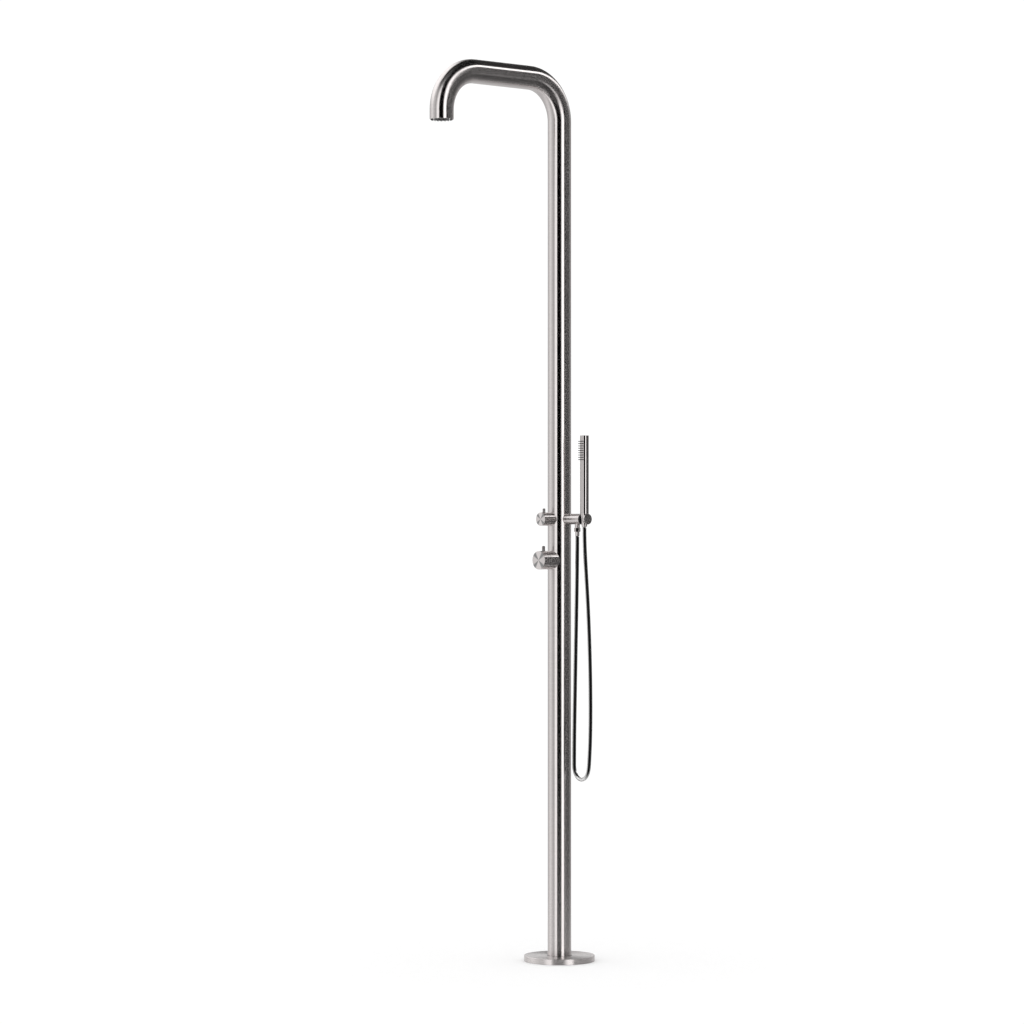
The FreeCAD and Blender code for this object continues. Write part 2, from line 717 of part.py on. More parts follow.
os.makedirs("parts", exist_ok=True)

save("column_tube", column_tube())
save("anchor_plate", anchor_plate())
save("base_cover", base_cover())
save("cover_seal", cover_seal())

save("hot_inlet_coupling", inlet_coupling(-inlet_spacing / 2))
save("cold_inlet_coupling", inlet_coupling(inlet_spacing / 2))
save("check_valves", check_valves())
save("inlet_spacer", inlet_spacer())
save("hot_supply_pipe", supply_pipe(-inlet_spacing / 2))
save("cold_supply_pipe", supply_pipe(inlet_spacing / 2))
save("link_pipe", link_pipe())
save("riser_pipe", riser_pipe())
save("side_pipe", side_pipe())

mixer_ports = [
    (-inlet_spacing / 2, DOWN, supply_pipe_d),
    (inlet_spacing / 2, DOWN, supply_pipe_d),
    (0, UP, link_pipe_d),
]
save_valve("mixer", mixer_height, (mixer_knob_d, mixer_knob_wall, mixer_knob_reach),
           (mixer_pin_d, mixer_pin_height, mixer_pin_reach),
           mixer_body_d, mixer_cartridge_d, mixer_stem_d, mixer_ports)
diverter_ports = [
    (0, DOWN, link_pipe_d),
    (0, UP, riser_pipe_d),
    (0, SIDE, side_pipe_d),
]
save_valve("diverter", diverter_height, (diverter_knob_d, diverter_knob_wall, diverter_knob_reach),
           (diverter_pin_d, diverter_pin_height, diverter_pin_reach),
           diverter_body_d, diverter_cartridge_d, diverter_stem_d, diverter_ports)

save("holder_bar", holder_bar())
save("holder_liner", holder_liner())
save("outlet_nipple", outlet_nipple())
save("hose_nut", hose_nut())
save("hose_ferrule", hose_ferrule())
save("hose_washer", hose_washer())
save("shower_hose", shower_hose())
save("hose_tail", hose_tail())
save("cone_nut", cone_nut())
save("cone_washer", cone_washer())

save("stick_body", stick_body())
save("stick_nozzles", stick_nozzles())
save("stick_inlet", stick_inlet())
save("stick_core", stick_core())

save("head_plate", head_plate_disc())
save("head_nozzles", head_nozzles())
save("head_chamber", head_chamber())
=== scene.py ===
# %% [markdown]
# # An outdoor shower post of brushed stainless steel
#
# The object is one bent steel tube on a round floor cover. Two turned knobs stand on its front,
# and a stick hand shower hangs in a short bar at its side, on a hose that loops down and up again.
# This lesson dresses the finished construction: the frame brings every part at its real size,
# and the cells below give each one its surface, or a finer mesh where the eye needs it.

# %% Load the construction
import json
import math

import bmesh
import bpy
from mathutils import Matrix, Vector

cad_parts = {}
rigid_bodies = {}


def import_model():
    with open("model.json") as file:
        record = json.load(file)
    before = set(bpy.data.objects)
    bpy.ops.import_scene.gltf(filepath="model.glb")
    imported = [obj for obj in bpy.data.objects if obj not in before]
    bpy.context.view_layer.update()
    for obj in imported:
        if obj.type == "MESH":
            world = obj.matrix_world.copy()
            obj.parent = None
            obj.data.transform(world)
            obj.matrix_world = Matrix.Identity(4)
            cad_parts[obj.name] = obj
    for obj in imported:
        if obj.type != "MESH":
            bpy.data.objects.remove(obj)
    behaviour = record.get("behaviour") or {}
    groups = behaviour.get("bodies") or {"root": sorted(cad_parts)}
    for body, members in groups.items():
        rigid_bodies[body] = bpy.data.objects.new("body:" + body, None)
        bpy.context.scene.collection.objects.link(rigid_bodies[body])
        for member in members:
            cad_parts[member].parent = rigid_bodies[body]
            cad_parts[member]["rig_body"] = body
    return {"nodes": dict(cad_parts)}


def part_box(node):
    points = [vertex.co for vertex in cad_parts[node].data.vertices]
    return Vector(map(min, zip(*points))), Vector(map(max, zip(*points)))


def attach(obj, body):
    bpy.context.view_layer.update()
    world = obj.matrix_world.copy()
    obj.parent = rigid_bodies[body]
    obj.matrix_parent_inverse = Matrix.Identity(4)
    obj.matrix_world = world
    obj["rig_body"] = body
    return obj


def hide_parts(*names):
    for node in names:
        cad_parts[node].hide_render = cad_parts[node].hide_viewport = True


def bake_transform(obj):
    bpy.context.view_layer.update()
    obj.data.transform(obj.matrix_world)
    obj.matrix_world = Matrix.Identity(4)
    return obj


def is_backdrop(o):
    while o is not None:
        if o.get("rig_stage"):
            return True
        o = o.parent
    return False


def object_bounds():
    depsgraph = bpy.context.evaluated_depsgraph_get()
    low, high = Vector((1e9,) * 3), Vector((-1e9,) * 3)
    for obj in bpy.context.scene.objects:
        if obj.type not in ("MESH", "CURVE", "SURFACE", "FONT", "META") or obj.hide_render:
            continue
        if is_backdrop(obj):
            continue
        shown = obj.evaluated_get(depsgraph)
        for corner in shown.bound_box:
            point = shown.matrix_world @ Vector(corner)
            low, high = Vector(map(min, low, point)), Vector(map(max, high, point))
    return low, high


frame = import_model()
cad_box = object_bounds()
slot_of = {name: node.material_slots[0].material.name for name, node in frame["nodes"].items()}
print("nodes:", len(slot_of), "box:", [round(v, 3) for v in (*cad_box[0], *cad_box[1])])

# %% [markdown]
# ## The camera
#
# The photograph was taken with a long lens from far away, at about the height of a person's chest,
# so upright lines stay upright. A level camera that is turned a little to the left does the same
# here. It needs no lens shift, which would follow it into every other view.

# %% Camera
camera_azimuth = math.radians(47.6)
camera_distance = 8.598
camera_height = 1.140
camera_turn = math.radians(0.8035)   # puts the post right of the picture's middle
camera_lens = 118.9

camera = bpy.data.objects.new("camera", bpy.data.cameras.new("camera"))
camera.data.lens = camera_lens
camera.data.sensor_width = 36.0
camera.location = (math.sin(camera_azimuth) * camera_distance,
                   -math.cos(camera_azimuth) * camera_distance, camera_height)
camera.rotation_euler = (math.pi / 2, 0, camera_azimuth + camera_turn)
bpy.context.scene.collection.objects.link(camera)
bpy.context.scene.camera = camera
print("camera at", [round(v, 3) for v in camera.location])

# %% [markdown]
# ## One tool for everything round
#
# Post, arm, hose, knobs and nozzles are the same idea: an outline of (radius, distance) that is
# turned about a line. On a lathe that line is straight. On a tube bender it is bent, and the rings
# follow it without twisting. So one function makes them all, and a second small one, the station
# finder, says where the line is at a distance and which way is sideways there.
#
# The map that is laid on each mesh, `turn`, holds metres along the outline and turns round the line,
# which is all that a brushed or turned finish asks for.

# %% Station finders
def straight(start, direction, side=(1, 0, 0)):
    """Stations on a straight line."""
    start, direction, side = Vector(start), Vector(direction), Vector(side)
    up = direction.cross(side)
    return lambda distance: (start + direction * distance, side, up)


def through(points, first_side):
    """How far along a line each of its points is, and the stations at those distances."""
    found = []
    side = Vector(first_side)
    for i, place in enumerate(points):
        ahead = points[min(i + 1, len(points) - 1)] - points[max(i - 1, 0)]
        direction = ahead.normalized()
        side = (side - direction * side.dot(direction)).normalized()
        found.append((place, side, direction.cross(side)))
    reach = [0.0]
    for a, b in zip(points, points[1:]):
        reach.append(reach[-1] + (b - a).length)
    at = dict(zip(reach, found))
    return reach, lambda distance: at[distance]


# %% Outlines
def rounded(corners, steps=5):
    """An outline through (radius, distance) corners; a third number rounds that corner off."""
    outline = []
    for i, corner in enumerate(corners):
        here = Vector(corner[:2])
        if len(corner) < 3:
            outline.append(tuple(here))
            continue
        radius = corner[2]
        before = (Vector(corners[i - 1][:2]) - here).normalized()
        after = (Vector(corners[(i + 1) % len(corners)][:2]) - here).normalized()
        half = before.angle(after) / 2
        centre = here + (before + after).normalized() * (radius / math.sin(half))
        start = here + before * (radius / math.tan(half)) - centre
        end = here + after * (radius / math.tan(half)) - centre
        first = math.atan2(start.y, start.x)
        sweep = (math.atan2(end.y, end.x) - first + math.pi) % (2 * math.pi) - math.pi
        for k in range(steps + 1):
            angle = first + sweep * k / steps
            outline.append((centre.x + radius * math.cos(angle), centre.y + radius * math.sin(angle)))
    return outline


# %% Turn an outline about a line
on_axis = 1e-7   # a ring with a smaller radius is one point


def add_object(name, bm):
    bmesh.ops.recalc_face_normals(bm, faces=bm.faces)
    mesh = bpy.data.meshes.new(name)
    bm.to_mesh(mesh)
    bm.free()
    piece = bpy.data.objects.new(name, mesh)
    bpy.context.scene.collection.objects.link(piece)
    return piece


def turn_map(bm):
    return bm.loops.layers.uv.get("turn") or bm.loops.layers.uv.new("turn")


def add_ring(bm, station, radius, distance, around, section):
    """The corners of one ring; on the axis they are one and the same point."""
    place, side, up = station(distance)
    if radius < on_axis:
        return [bm.verts.new(place)] * around
    ring = []
    for k in range(around):
        angle = 2 * math.pi * k / around
        r = section(radius, angle) if section else radius
        ring.append(bm.verts.new(place + r * (math.cos(angle) * side + math.sin(angle) * up)))
    return ring


def turn_into(bm, station, outline, around=96, closed=False, section=None):
    """Adds a turned solid. Its outline is closed, or it is open and both ends are on the axis."""
    turn = turn_map(bm)
    rings = [add_ring(bm, station, radius, distance, around, section) for radius, distance in outline]
    reach = [0.0]
    for a, b in zip(outline, outline[1:] + outline[:1]):
        reach.append(reach[-1] + math.dist(a, b))
    for i in range(len(rings) if closed else len(rings) - 1):
        j = (i + 1) % len(rings)
        for k in range(around):
            n = (k + 1) % around
            corners = [(rings[i][k], reach[i], k), (rings[i][n], reach[i], k + 1),
                       (rings[j][n], reach[i + 1], k + 1), (rings[j][k], reach[i + 1], k)]
            if rings[i][k] is rings[i][n]:
                corners = [(rings[i][k], reach[i], k + 0.5), *corners[2:]]
            elif rings[j][k] is rings[j][n]:
                corners = [*corners[:2], (rings[j][k], reach[i + 1], k + 0.5)]
            face = bm.faces.new([corner[0] for corner in corners])
            face.smooth = True
            for loop, (_, distance, step) in zip(face.loops, corners):
                loop[turn].uv = (distance, step / around)


def turned(name, station, outline, around=96, closed=False, section=None):
    bm = bmesh.new()
    turn_into(bm, station, outline, around, closed, section)
    return add_object(name, bm)


# %% [markdown]
# ## Node helpers
#
# A material is a small machine of nodes. One helper adds a node and fills its inputs, with plain
# values or with other nodes' outputs, and another starts a group with named inputs and outputs.

# %% Node helpers
def add(tree, kind, inputs=None, **settings):
    node = tree.nodes.new("ShaderNode" + kind)
    for key, value in settings.items():
        setattr(node, key, value)
    for key, value in (inputs or {}).items():
        if isinstance(value, bpy.types.NodeSocket):
            tree.links.new(value, node.inputs[key])
        else:
            node.inputs[key].default_value = value
    return node


def math_node(tree, operation, a, b=0.0):
    return add(tree, "Math", {0: a, 1: b}, operation=operation).outputs[0]


def blend_colours(tree, mask, first, second):
    """The first colour where the mask is 0 and the second where it is 1."""
    node = add(tree, "Mix", {"Factor": mask, "A": first, "B": second}, data_type="RGBA")
    return node.outputs["Result"]


def new_group(name, inputs, outputs):
    group = bpy.data.node_groups.new(name, "ShaderNodeTree")
    for label, kind, value in inputs:
        socket = group.interface.new_socket(label, in_out="INPUT", socket_type="NodeSocket" + kind)
        if kind == "Float":
            socket.default_value = value
    for label, kind in outputs:
        group.interface.new_socket(label, in_out="OUTPUT", socket_type="NodeSocket" + kind)
    return group, group.nodes.new("NodeGroupInput").outputs, group.nodes.new("NodeGroupOutput").inputs


def new_material(name):
    material = bpy.data.materials.new(name)
    material.use_nodes = True
    tree = material.node_tree
    return material, tree, tree.nodes["Principled BSDF"]


# %% [markdown]
# ## The grain of brushed and turned steel
#
# A belt that runs round the tube leaves fine scratches, a few centimetres long and a fraction of a
# millimetre wide. A lathe tool leaves whole rings. Both are one noise, stretched: narrow along the
# outline and long round the axis. Turning the map's second number back into a circle keeps the noise
# without a seam where the turns meet.

# %% Group: grain lines
grain, given, made = new_group(
    "grain_lines",
    [("Map", "Vector", None), ("Radius", "Float", 0.03), ("Width", "Float", 0.0003),
     ("Length", "Float", 0.05)],
    [("Lines", "Float")])
parts = add(grain, "SeparateXYZ", {0: given["Map"]})
across = math_node(grain, "DIVIDE", parts.outputs["X"], given["Width"])
angle = math_node(grain, "MULTIPLY", parts.outputs["Y"], 2 * math.pi)
ring = math_node(grain, "DIVIDE", given["Radius"], given["Length"])
ring_x = math_node(grain, "MULTIPLY", math_node(grain, "COSINE", angle), ring)
ring_y = math_node(grain, "MULTIPLY", math_node(grain, "SINE", angle), ring)
where = add(grain, "CombineXYZ", {0: across, 1: ring_x, 2: ring_y})
noise = add(grain, "TexNoise", {"Vector": where.outputs[0], "Scale": 1.0, "Detail": 3.0, "Roughness": 0.7})
spread = add(grain, "MapRange", {"Value": noise.outputs[0], "From Min": 0.3, "From Max": 0.7})
grain.links.new(spread.outputs[0], made["Lines"])
print("group", grain.name, "ready")

# %% [markdown]
# ## Handling and worn edges
#
# Steel that people touch is never evenly clean: wide, soft patches are a little duller. Its edges
# are a little brighter than its faces, because every cloth that wipes the part rubs them most. The
# Bevel node looks a short way round each point, and where its normal leaves the surface's own, an
# edge is near.

# %% Groups: handling, worn edges
handling, given, made = new_group(
    "handling", [("Position", "Vector", None), ("Size", "Float", 0.05)], [("Haze", "Float")])
scale = math_node(handling, "DIVIDE", 1.0, given["Size"])
noise = add(handling, "TexNoise", {"Vector": given["Position"], "Scale": scale, "Detail": 4.0,
                                   "Roughness": 0.6, "Distortion": 0.4})
spread = add(handling, "MapRange", {"Value": noise.outputs[0], "From Min": 0.35, "From Max": 0.75})
handling.links.new(spread.outputs[0], made["Haze"])

edges, given, made = new_group("worn_edges", [("Width", "Float", 0.0005)], [("Edge", "Float")])
near = add(edges, "Bevel", {"Radius": given["Width"]}, samples=4)
flat = add(edges, "NewGeometry")
same = add(edges, "VectorMath", {0: near.outputs[0], 1: flat.outputs["Normal"]}, operation="DOT_PRODUCT")
edge = add(edges, "MapRange", {"Value": same.outputs["Value"], "From Min": 0.995, "From Max": 0.85})
edges.links.new(edge.outputs[0], made["Edge"])
print("groups", handling.name, edges.name, "ready")

# %% [markdown]
# ## Painted sectors of a turned face
#
# The rings that a lathe leaves on a flat face lie across the light in some directions and along it in
# others, so the face shows light and dark sectors from its middle outwards. This group paints that
# reflection into the colour: four soft dark sectors between the upright and the level direction, and only
# where the surface faces the front, so the knobs' faces have them and their sides don't.

# %% Group: painted face sectors
painted_dark_sectors = 4
sectors, given, made = new_group(
    "painted_face_sectors", [("Map", "Vector", None), ("Facing", "Vector", None)], [("Painted_dark", "Float")])
turns = add(sectors, "SeparateXYZ", {0: given["Map"]}).outputs["Y"]
phase = math_node(sectors, "MULTIPLY", turns, 2 * math.pi * painted_dark_sectors)
wave = math_node(sectors, "COSINE", phase)
spokes = add(sectors, "MapRange", {"Value": wave, "From Min": -0.1, "From Max": -0.9}).outputs[0]
outward = add(sectors, "SeparateXYZ", {0: given["Facing"]}).outputs["Y"]
on_face = add(sectors, "MapRange", {"Value": outward, "From Min": -0.90, "From Max": -0.98}).outputs[0]
sectors.links.new(math_node(sectors, "MULTIPLY", spokes, on_face), made["Painted_dark"])
print("group", sectors.name, "ready")

# %% [markdown]
# ## Steel
#
# All the steel of this object is the same metal, finished in different ways, so one function makes
# it. The scratches are far smaller than a pixel from where one stands, and what is seen of them is
# their effect: reflections smear across the scratches and stay sharp along them. That is what
# Anisotropic does, with its tangent laid across the grain by the map. The lines themselves still
# show from close by, through the colour, the roughness and a very low bump.
#
# Two of them carry painted light in their colour: the knobs' faces get `painted_sectors`, dark sectors
# that are a painted reflection, and the stick gets `painted_dark_middle`, a dark grey painted where it
# faces the eye, which stands in for the dark room that its polish mirrors.

# %% Steel
steel_grey = (0.655, 0.618, 0.611)
stick_grey = (0.572, 0.541, 0.535)
# Painted shade: the pins' grey is darker than the steel, for the shadow and dark reflection that they sit
# in.
pin_painted_shade_grey = (0.266, 0.251, 0.248)
edge_grey = (0.795, 0.760, 0.752)
# Painted reflection: the grey of the dark sectors on the knobs' faces.
painted_sector_shade = (0.260, 0.260, 0.260)
# Painted reflection: the dark grey laid on the stick where it faces the eye.
painted_middle_shade = (0.050, 0.050, 0.050)
haze_size = 0.08
worn_width = 0.0006
scratch_depth = 0.00002
grain_roughness = 0.03   # how far the lines move the roughness up and down


def steel(name, radius, roughness, width=0.00022, length=0.25, anisotropy=0.95, haze=0.02,
          bump=0.25, contrast=0.10, axis=None, metal=steel_grey, metallic=1.0, painted_sectors=False,
          painted_dark_middle=False):
    """Steel with its grain round an axis: by the map, or round X or Z where a part has no map."""
    material, tree, shader = new_material(name)
    spot = add(tree, "TexCoord")
    if axis:
        along = add(tree, "SeparateXYZ", {0: spot.outputs["Object"]}).outputs[axis]
        turn = add(tree, "CombineXYZ", {0: along, 1: 0.0, 2: 0.0})
    else:
        turn = add(tree, "UVMap", uv_map="turn")
    scratches = {"Map": turn.outputs[0], "Radius": radius, "Width": width, "Length": length}
    lines = add(tree, "Group", scratches, node_tree=grain).outputs["Lines"]
    dull = add(tree, "Group", {"Position": spot.outputs["Object"], "Size": haze_size},
               node_tree=handling).outputs["Haze"]
    edge = add(tree, "Group", {"Width": worn_width}, node_tree=edges).outputs["Edge"]
    low = tuple(c * (1 - contrast) for c in metal)
    high = tuple(min(1, c * (1 + contrast)) for c in metal)
    tint = blend_colours(tree, lines, (*low, 1), (*high, 1))
    # Painted reflection: dark sectors drawn into the colour of a turned face.
    if painted_sectors:
        dark = add(tree, "Group", {"Map": turn.outputs[0], "Facing": spot.outputs["Normal"]},
                   node_tree=sectors).outputs["Painted_dark"]
        tint = blend_colours(tree, dark, tint, (*painted_sector_shade, 1))
    # Painted reflection: the colour turns dark where the surface faces the eye.
    if painted_dark_middle:
        facing = add(tree, "LayerWeight", {"Blend": 0.5}).outputs["Facing"]
        middle = add(tree, "MapRange", {"Value": facing, "From Min": 0.030, "From Max": 0.010})
        tint = blend_colours(tree, middle.outputs[0], tint, (*painted_middle_shade, 1))
    worn = blend_colours(tree, edge, tint, (*edge_grey, 1))
    rough = add(tree, "MapRange", {"Value": lines, "To Min": roughness - grain_roughness,
                                   "To Max": roughness + grain_roughness})
    rough = math_node(tree, "ADD", rough.outputs[0], math_node(tree, "MULTIPLY", dull, haze))
    relief = add(tree, "Bump", {"Strength": bump, "Distance": scratch_depth, "Height": lines})
    if axis:
        # A radial tangent runs along the grain, so a quarter turn lays it across.
        tangent = add(tree, "Tangent", direction_type="RADIAL", axis=axis)
        shader.inputs["Anisotropic Rotation"].default_value = 0.25
    else:
        tangent = add(tree, "Tangent", direction_type="UV_MAP", uv_map="turn")
    shader.inputs["Metallic"].default_value = metallic
    shader.inputs["Anisotropic"].default_value = anisotropy
    tree.links.new(worn, shader.inputs["Base Color"])
    tree.links.new(rough, shader.inputs["Roughness"])
    tree.links.new(relief.outputs[0], shader.inputs["Normal"])
    tree.links.new(tangent.outputs[0], shader.inputs["Tangent"])
    return material


# %% Steels for the finer meshes
brushed_steel = steel("brushed_steel", radius=0.030, roughness=0.20, width=0.00030, length=0.045,
                      anisotropy=1.0)
turned_steel = steel("turned_steel", radius=0.015, roughness=0.18)
# The knobs' steel has dark sectors painted on its faces, a painted reflection.
knob_steel = steel("knob_steel", radius=0.015, roughness=0.18, painted_sectors=True)
# The pins' steel is painted darker, a painted shade.
pin_steel_painted_shade = steel("pin_steel_painted_shade", radius=0.004, roughness=0.22, anisotropy=0.80, metal=pin_painted_shade_grey)
# The stick's steel is painted darker where it faces the eye, a painted reflection of the dark room.
bright_steel = steel("bright_steel", radius=0.011, roughness=0.14, width=0.00020, bump=0.05,
                     contrast=0.05, metal=stick_grey, painted_dark_middle=True)
cover_steel = steel("cover_steel", radius=0.060, roughness=0.25, width=0.00030, anisotropy=0.75,
                    haze=0.04, metallic=0.86)
for material in (brushed_steel, turned_steel, knob_steel, pin_steel_painted_shade, bright_steel, cover_steel):
    print("steel:", material.name)

# %% [markdown]
# ## The skin of the hose
#
# The hose is a band of metal wound into fine rings, in a smooth clear skin. Its colour is painted light:
# near black where it is seen straight on, a painted shade for the rings swallowing the light, and silver
# towards its edges, a painted reflection of the bright room. Layer Weight tells how edge-on the surface is
# seen, and leads the colour from the painted dark rings to the painted silver.

# %% Hose skin
hose_diameter = 0.010
ring_pitch = 0.0012
# Painted shade: the near-black colours of the rings where the hose is seen straight on.
painted_groove_shade = (0.006, 0.006, 0.006, 1)
painted_ring_shade = (0.020, 0.020, 0.020, 1)
# Painted reflection: the silver that the hose's edges show.
painted_edge_reflection = (0.85, 0.85, 0.85, 1)
hose_skin, tree, shader = new_material("hose_skin")
turn = add(tree, "UVMap", uv_map="turn")
winding = {"Map": turn.outputs[0], "Radius": hose_diameter / 2, "Width": ring_pitch, "Length": 0.25}
rings = add(tree, "Group", winding, node_tree=grain).outputs["Lines"]
edge_on = add(tree, "LayerWeight", {"Blend": 0.5}).outputs["Facing"]
painted_edge_mask = add(tree, "MapRange", {"Value": edge_on, "From Min": 0.10, "From Max": 0.42}).outputs[0]
painted_dark_rings = blend_colours(tree, rings, painted_groove_shade, painted_ring_shade)
skin = blend_colours(tree, painted_edge_mask, painted_dark_rings, painted_edge_reflection)
relief = add(tree, "Bump", {"Strength": 0.15, "Distance": 0.00005, "Height": rings})
tangent = add(tree, "Tangent", direction_type="UV_MAP", uv_map="turn")
shader.inputs["Metallic"].default_value = 1.0
shader.inputs["Roughness"].default_value = 0.18
shader.inputs["Anisotropic"].default_value = 0.90
tree.links.new(skin, shader.inputs["Base Color"])
tree.links.new(relief.outputs[0], shader.inputs["Normal"])
tree.links.new(tangent.outputs[0], shader.inputs["Tangent"])
print("ring pitch of the hose:", ring_pitch)

# %% [markdown]
# ## Rubber, plastic, brass
#
# The other materials are mostly hidden inside. Each has a clear difference in colour and gloss, with
# small, slow changes in both, because nothing moulded or cast is perfectly even.

# %% Other materials
patch_depth = 0.0001
patch_roughness = 0.06   # how far the patches move the roughness up and down


def matter(name, dark, light, roughness, size, metallic, bump):
    """A moulded or cast material, in patches of a dark and a light colour."""
    material, tree, shader = new_material(name)
    spot = add(tree, "TexCoord")
    patch = add(tree, "Group", {"Position": spot.outputs["Object"], "Size": size},
                node_tree=handling).outputs["Haze"]
    tint = blend_colours(tree, patch, (*dark, 1), (*light, 1))
    rough = add(tree, "MapRange", {"Value": patch, "To Min": roughness - patch_roughness,
                                   "To Max": roughness + patch_roughness})
    relief = add(tree, "Bump", {"Strength": bump, "Distance": patch_depth, "Height": patch})
    shader.inputs["Metallic"].default_value = metallic
    tree.links.new(tint, shader.inputs["Base Color"])
    tree.links.new(rough.outputs[0], shader.inputs["Roughness"])
    tree.links.new(relief.outputs[0], shader.inputs["Normal"])
    return material


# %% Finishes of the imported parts
matters = {   # dark and light colour, roughness, size of the patches, metallic, bump
    "plain_steel": ((0.45, 0.44, 0.43), (0.55, 0.54, 0.53), 0.38, 0.010, 1.0, 0.1),
    "brass": ((0.60, 0.43, 0.18), (0.72, 0.54, 0.26), 0.35, 0.008, 1.0, 0.1),
    "pale_plastic": ((0.72, 0.71, 0.67), (0.80, 0.79, 0.75), 0.45, 0.020, 0.0, 0.1),
    "dark_plastic": ((0.012, 0.012, 0.013), (0.022, 0.022, 0.023), 0.42, 0.010, 0.0, 0.1),
    "black_rubber": ((0.008, 0.008, 0.008), (0.018, 0.018, 0.018), 0.70, 0.005, 0.0, 0.3),
    "dark_silicone": ((0.020, 0.020, 0.021), (0.035, 0.035, 0.036), 0.50, 0.004, 0.0, 0.2),
}
finish = {name: matter(name, *values) for name, values in matters.items()}
finish["silver_hose"] = hose_skin
finish["brushed_steel"] = steel("brushed_steel_upright", radius=0.013, roughness=0.19, axis="Z")
finish["bright_steel"] = steel("bright_steel_upright", radius=0.010, roughness=0.15, width=0.00020,
                               bump=0.05, axis="Z")
for name, node in frame["nodes"].items():
    node.material_slots[0].material = finish[slot_of[name]]
bar_steel = steel("bar_steel", radius=0.013, roughness=0.19, axis="X")
frame["nodes"]["holder_bar"].material_slots[0].material = bar_steel
print("finishes:", ", ".join(sorted(finish)))

# %% [markdown]
# ## The hose
#
# A hose that hangs between two ends is one smooth line, so it is drawn as a NURBS spline that a few given
# points pull into shape: straight out of the ferrule, down beside the post, round the loop and up to the
# cone nut. A mesh is turned about it.

# %% Route of the hose
holder_height = 1.122
hose_route = [   # x, y, and the depth below the holder's axis
    (0.0670, 0.0000, 0.0420),
    (0.0670, 0.0000, 0.0720),
    (0.0658, 0.0003, 0.1260),
    (0.0628, 0.0009, 0.2300),
    (0.0579, 0.0023, 0.3580),
    (0.0532, 0.0039, 0.4760),
    (0.0503, 0.0050, 0.5560),
    (0.0492, 0.0057, 0.6060),
    (0.0490, 0.0058, 0.6350),
    (0.0616, 0.0036, 0.6525),
    (0.0820, 0.0000, 0.6592),
    (0.1024, -0.0036, 0.6525),
    (0.1150, -0.0058, 0.6350),
    (0.1178, -0.0057, 0.6060),
    (0.1202, -0.0049, 0.5560),
    (0.1206, -0.0039, 0.4760),
    (0.1174, -0.0029, 0.3580),
    (0.1094, -0.0016, 0.2300),
    (0.0980, -0.0004, 0.1120),
    (0.0935, 0.0000, 0.0520),
    (0.0935, 0.0000, 0.0193),
]


def spline_line(route, steps):
    """The points of the smooth line that the route's points pull into shape."""
    curve = bpy.data.curves.new("route", "CURVE")
    curve.dimensions = "3D"
    spline = curve.splines.new("NURBS")
    spline.points.add(len(route) - 1)
    for point, (x, y, depth) in zip(spline.points, route):
        point.co = (x, y, holder_height - depth, 1)
    spline.order_u = 3
    spline.use_endpoint_u = True
    spline.resolution_u = steps
    carrier = bpy.data.objects.new("route", curve)
    mesh = bpy.data.meshes.new_from_object(carrier)
    points = [v.co.copy() for v in mesh.vertices]
    bpy.data.objects.remove(carrier)
    bpy.data.curves.remove(curve)
    bpy.data.meshes.remove(mesh)
    return points


hose_line = spline_line(hose_route, steps=14)
print("hose:", len(hose_line), "points,", round(sum(map(math.dist, hose_line, hose_line[1:])), 4), "m")

# %% Hose
reach, on_hose = through(hose_line, (0, 1, 0))
hose_outline = [(0, 0.0), *((hose_diameter / 2, distance) for distance in reach), (0, reach[-1])]
hose = turned("hose", on_hose, hose_outline, around=32)
hose.data.materials.append(hose_skin)
print("hose mesh:", len(hose.data.polygons), "faces")

# %% [markdown]
# ## Standing in for a part
#
# A flat face that meets a small rounded edge shades wrongly if each corner's normal is a plain average.
# The Weighted Normal modifier lets the large faces win, so flats stay flat and only the narrow rounding
# catches the light. Every new piece then rides on the body of the part that it stands for and gets the
# finish that it is given, and `stand_for` prints how far its size is from the part's.

# %% Stand in for a part
def weight_normals(piece):
    piece.data.set_sharp_from_angle(angle=math.radians(40))
    modifier = piece.modifiers.new("weighted_normals", "WEIGHTED_NORMAL")
    modifier.weight = 100
    modifier.keep_sharp = True


def mesh_box(piece):
    """The lowest and the highest corner of a piece's mesh."""
    axes = list(zip(*(vertex.co for vertex in piece.data.vertices)))
    return [[pick(axis) for axis in axes] for pick in (min, max)]


def stand_for(piece, *nodes, material):
    """Gives a piece its finish and the body of the first part that it hides."""
    body = frame["nodes"][nodes[0]]["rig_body"]
    weight_normals(piece)
    piece.data.materials.clear()
    piece.data.materials.append(material)
    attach(piece, body)
    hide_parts(*nodes)
    corners = zip(mesh_box(piece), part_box(nodes[0]))
    apart = max(abs(a - b) for mine, theirs in corners for a, b in zip(mine, theirs))
    print(f"{piece.name} on {body}: {len(piece.data.polygons)} faces,",
          f"{apart * 1000:.2f} mm from {nodes[0]}")


# %% [markdown]
# ## Drilling
#
# A hole is cut by a turned solid of its own, with a Boolean modifier. The modifier's result is
# kept as the piece's mesh, so neither the modifier nor the cutter is left in the scene.

# %% Drill and cut
def drill(start, direction, radius, low, high):
    """A cutter from low to high along a direction."""
    side = (0, 1, 0) if abs(direction[0]) > 0.5 else (1, 0, 0)   # across the drill
    return turned("drill", straight(start, direction, side),
                  [(0, low), (radius, low), (radius, high), (0, high)], around=40)


def cut(piece, cutter):
    """Cuts the cutter's shape out of the piece and throws the cutter away."""
    modifier = piece.modifiers.new("cut", "BOOLEAN")
    modifier.operation = "DIFFERENCE"
    modifier.solver = "EXACT"
    modifier.object = cutter
    bpy.context.view_layer.update()
    result = bpy.data.meshes.new_from_object(
        piece.evaluated_get(bpy.context.evaluated_depsgraph_get()))
    piece.modifiers.clear()
    old, piece.data = piece.data, result
    bpy.data.meshes.remove(old)
    bpy.data.objects.remove(cutter)


